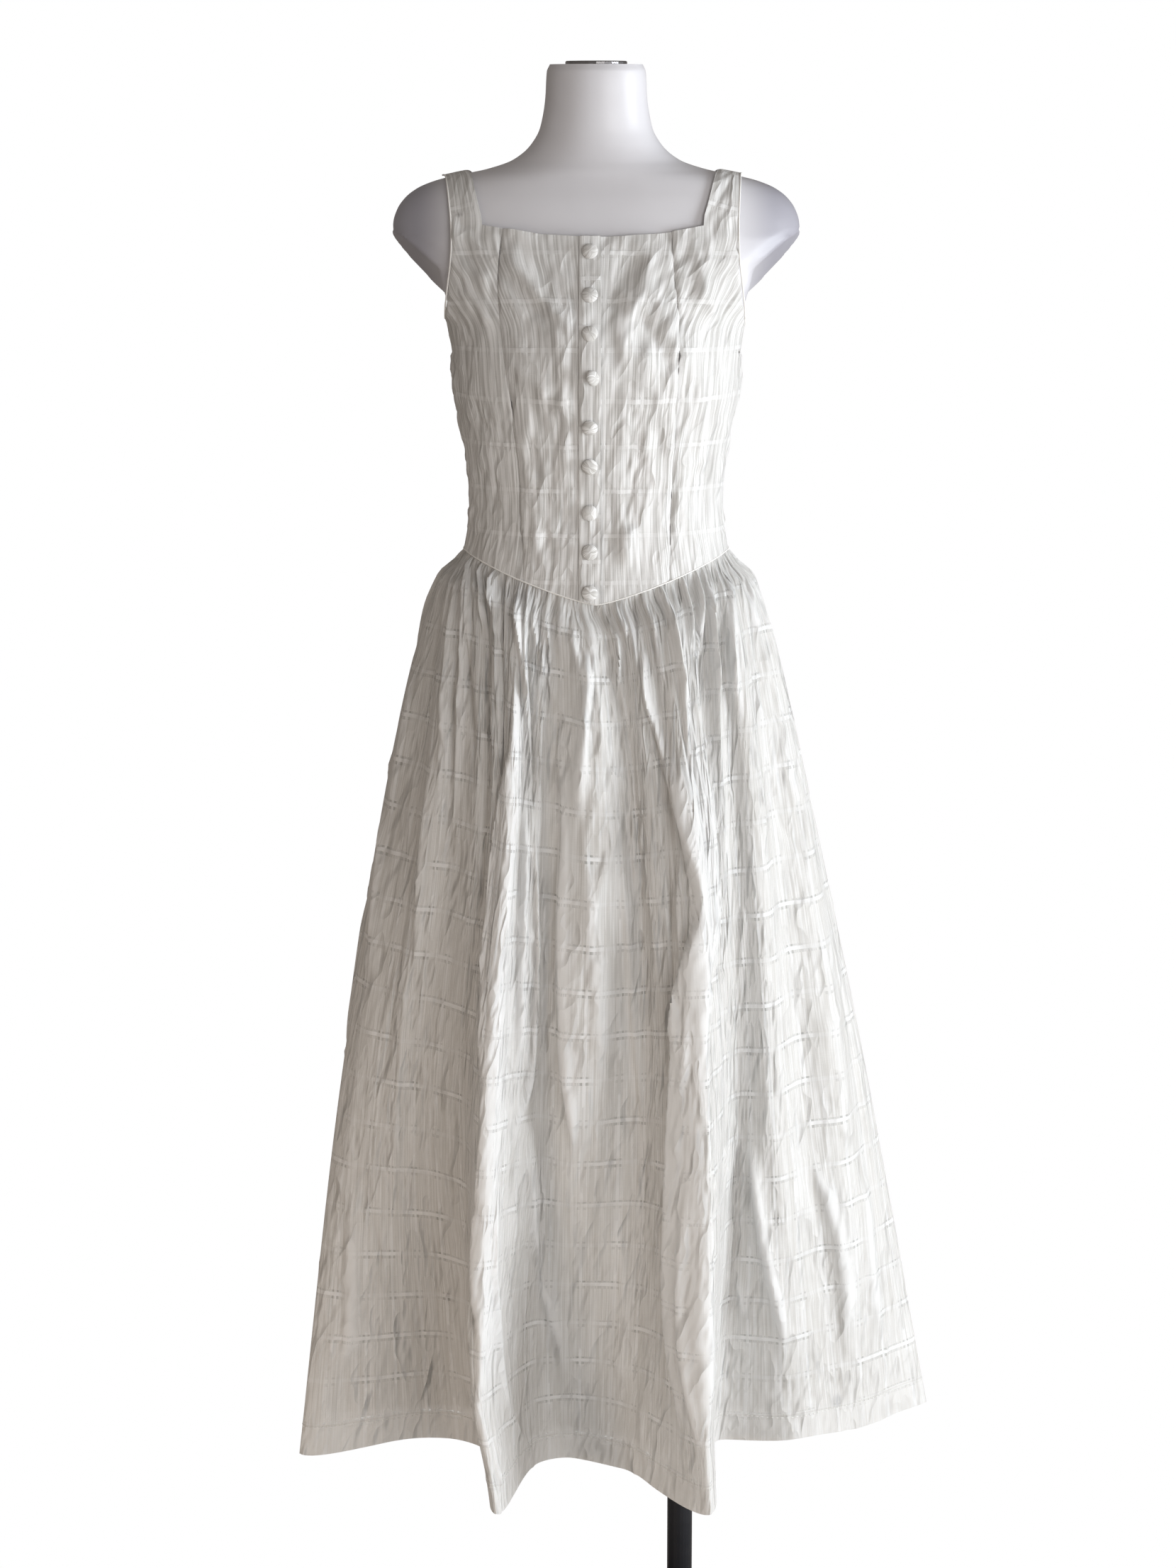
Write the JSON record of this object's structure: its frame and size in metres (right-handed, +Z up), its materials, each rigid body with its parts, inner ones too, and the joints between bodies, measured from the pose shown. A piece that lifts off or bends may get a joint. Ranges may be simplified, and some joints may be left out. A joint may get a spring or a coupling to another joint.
{
  "type": "dress on a dress form",
  "caption": "Long sleeveless ivory cotton dress with a pointed waist, covered buttons down the fitted front and a full gathered skirt, on a limbless white dress form on a black pole stand.",
  "frame": {"origin": "centre of the base plate's underside, on the floor", "axes": "+Z up; the dress's front faces -Y; +X is the wearer's left, at the right of the picture"},
  "size_m": [0.6504, 0.5201, 1.6653],
  "materials": {
    "ivory_cotton": "thin ivory cotton with a woven check of sheer lines",
    "lining_cotton": "plain thin ivory cotton",
    "covered_button": "ivory cotton stretched over a domed button",
    "form_plastic": "smooth satin off-white plastic",
    "cap_steel": "dull grey steel cap on the neck",
    "black_steel": "satin black paint"
  },
  "bodies": {
    "root": {"stand_base": "black_steel", "stand_pole": "black_steel", "stand_collar_low": "black_steel", "stand_collar_high": "black_steel", "dress_form": "form_plastic", "neck_cap": "cap_steel", "bodice_front_right": "ivory_cotton", "bodice_front_left": "ivory_cotton", "bodice_side_front_right": "ivory_cotton", "bodice_side_front_left": "ivory_cotton", "bodice_back_right": "ivory_cotton", "bodice_back_left": "ivory_cotton", "button_band": "ivory_cotton", "skirt_front": "ivory_cotton", "skirt_back": "ivory_cotton", "lining_front": "lining_cotton", "lining_back": "lining_cotton", "button_1": "covered_button", "button_2": "covered_button", "button_3": "covered_button", "button_4": "covered_button", "button_5": "covered_button", "button_6": "covered_button", "button_7": "covered_button", "button_8": "covered_button", "button_9": "covered_button"}
  },
  "joints": []
}
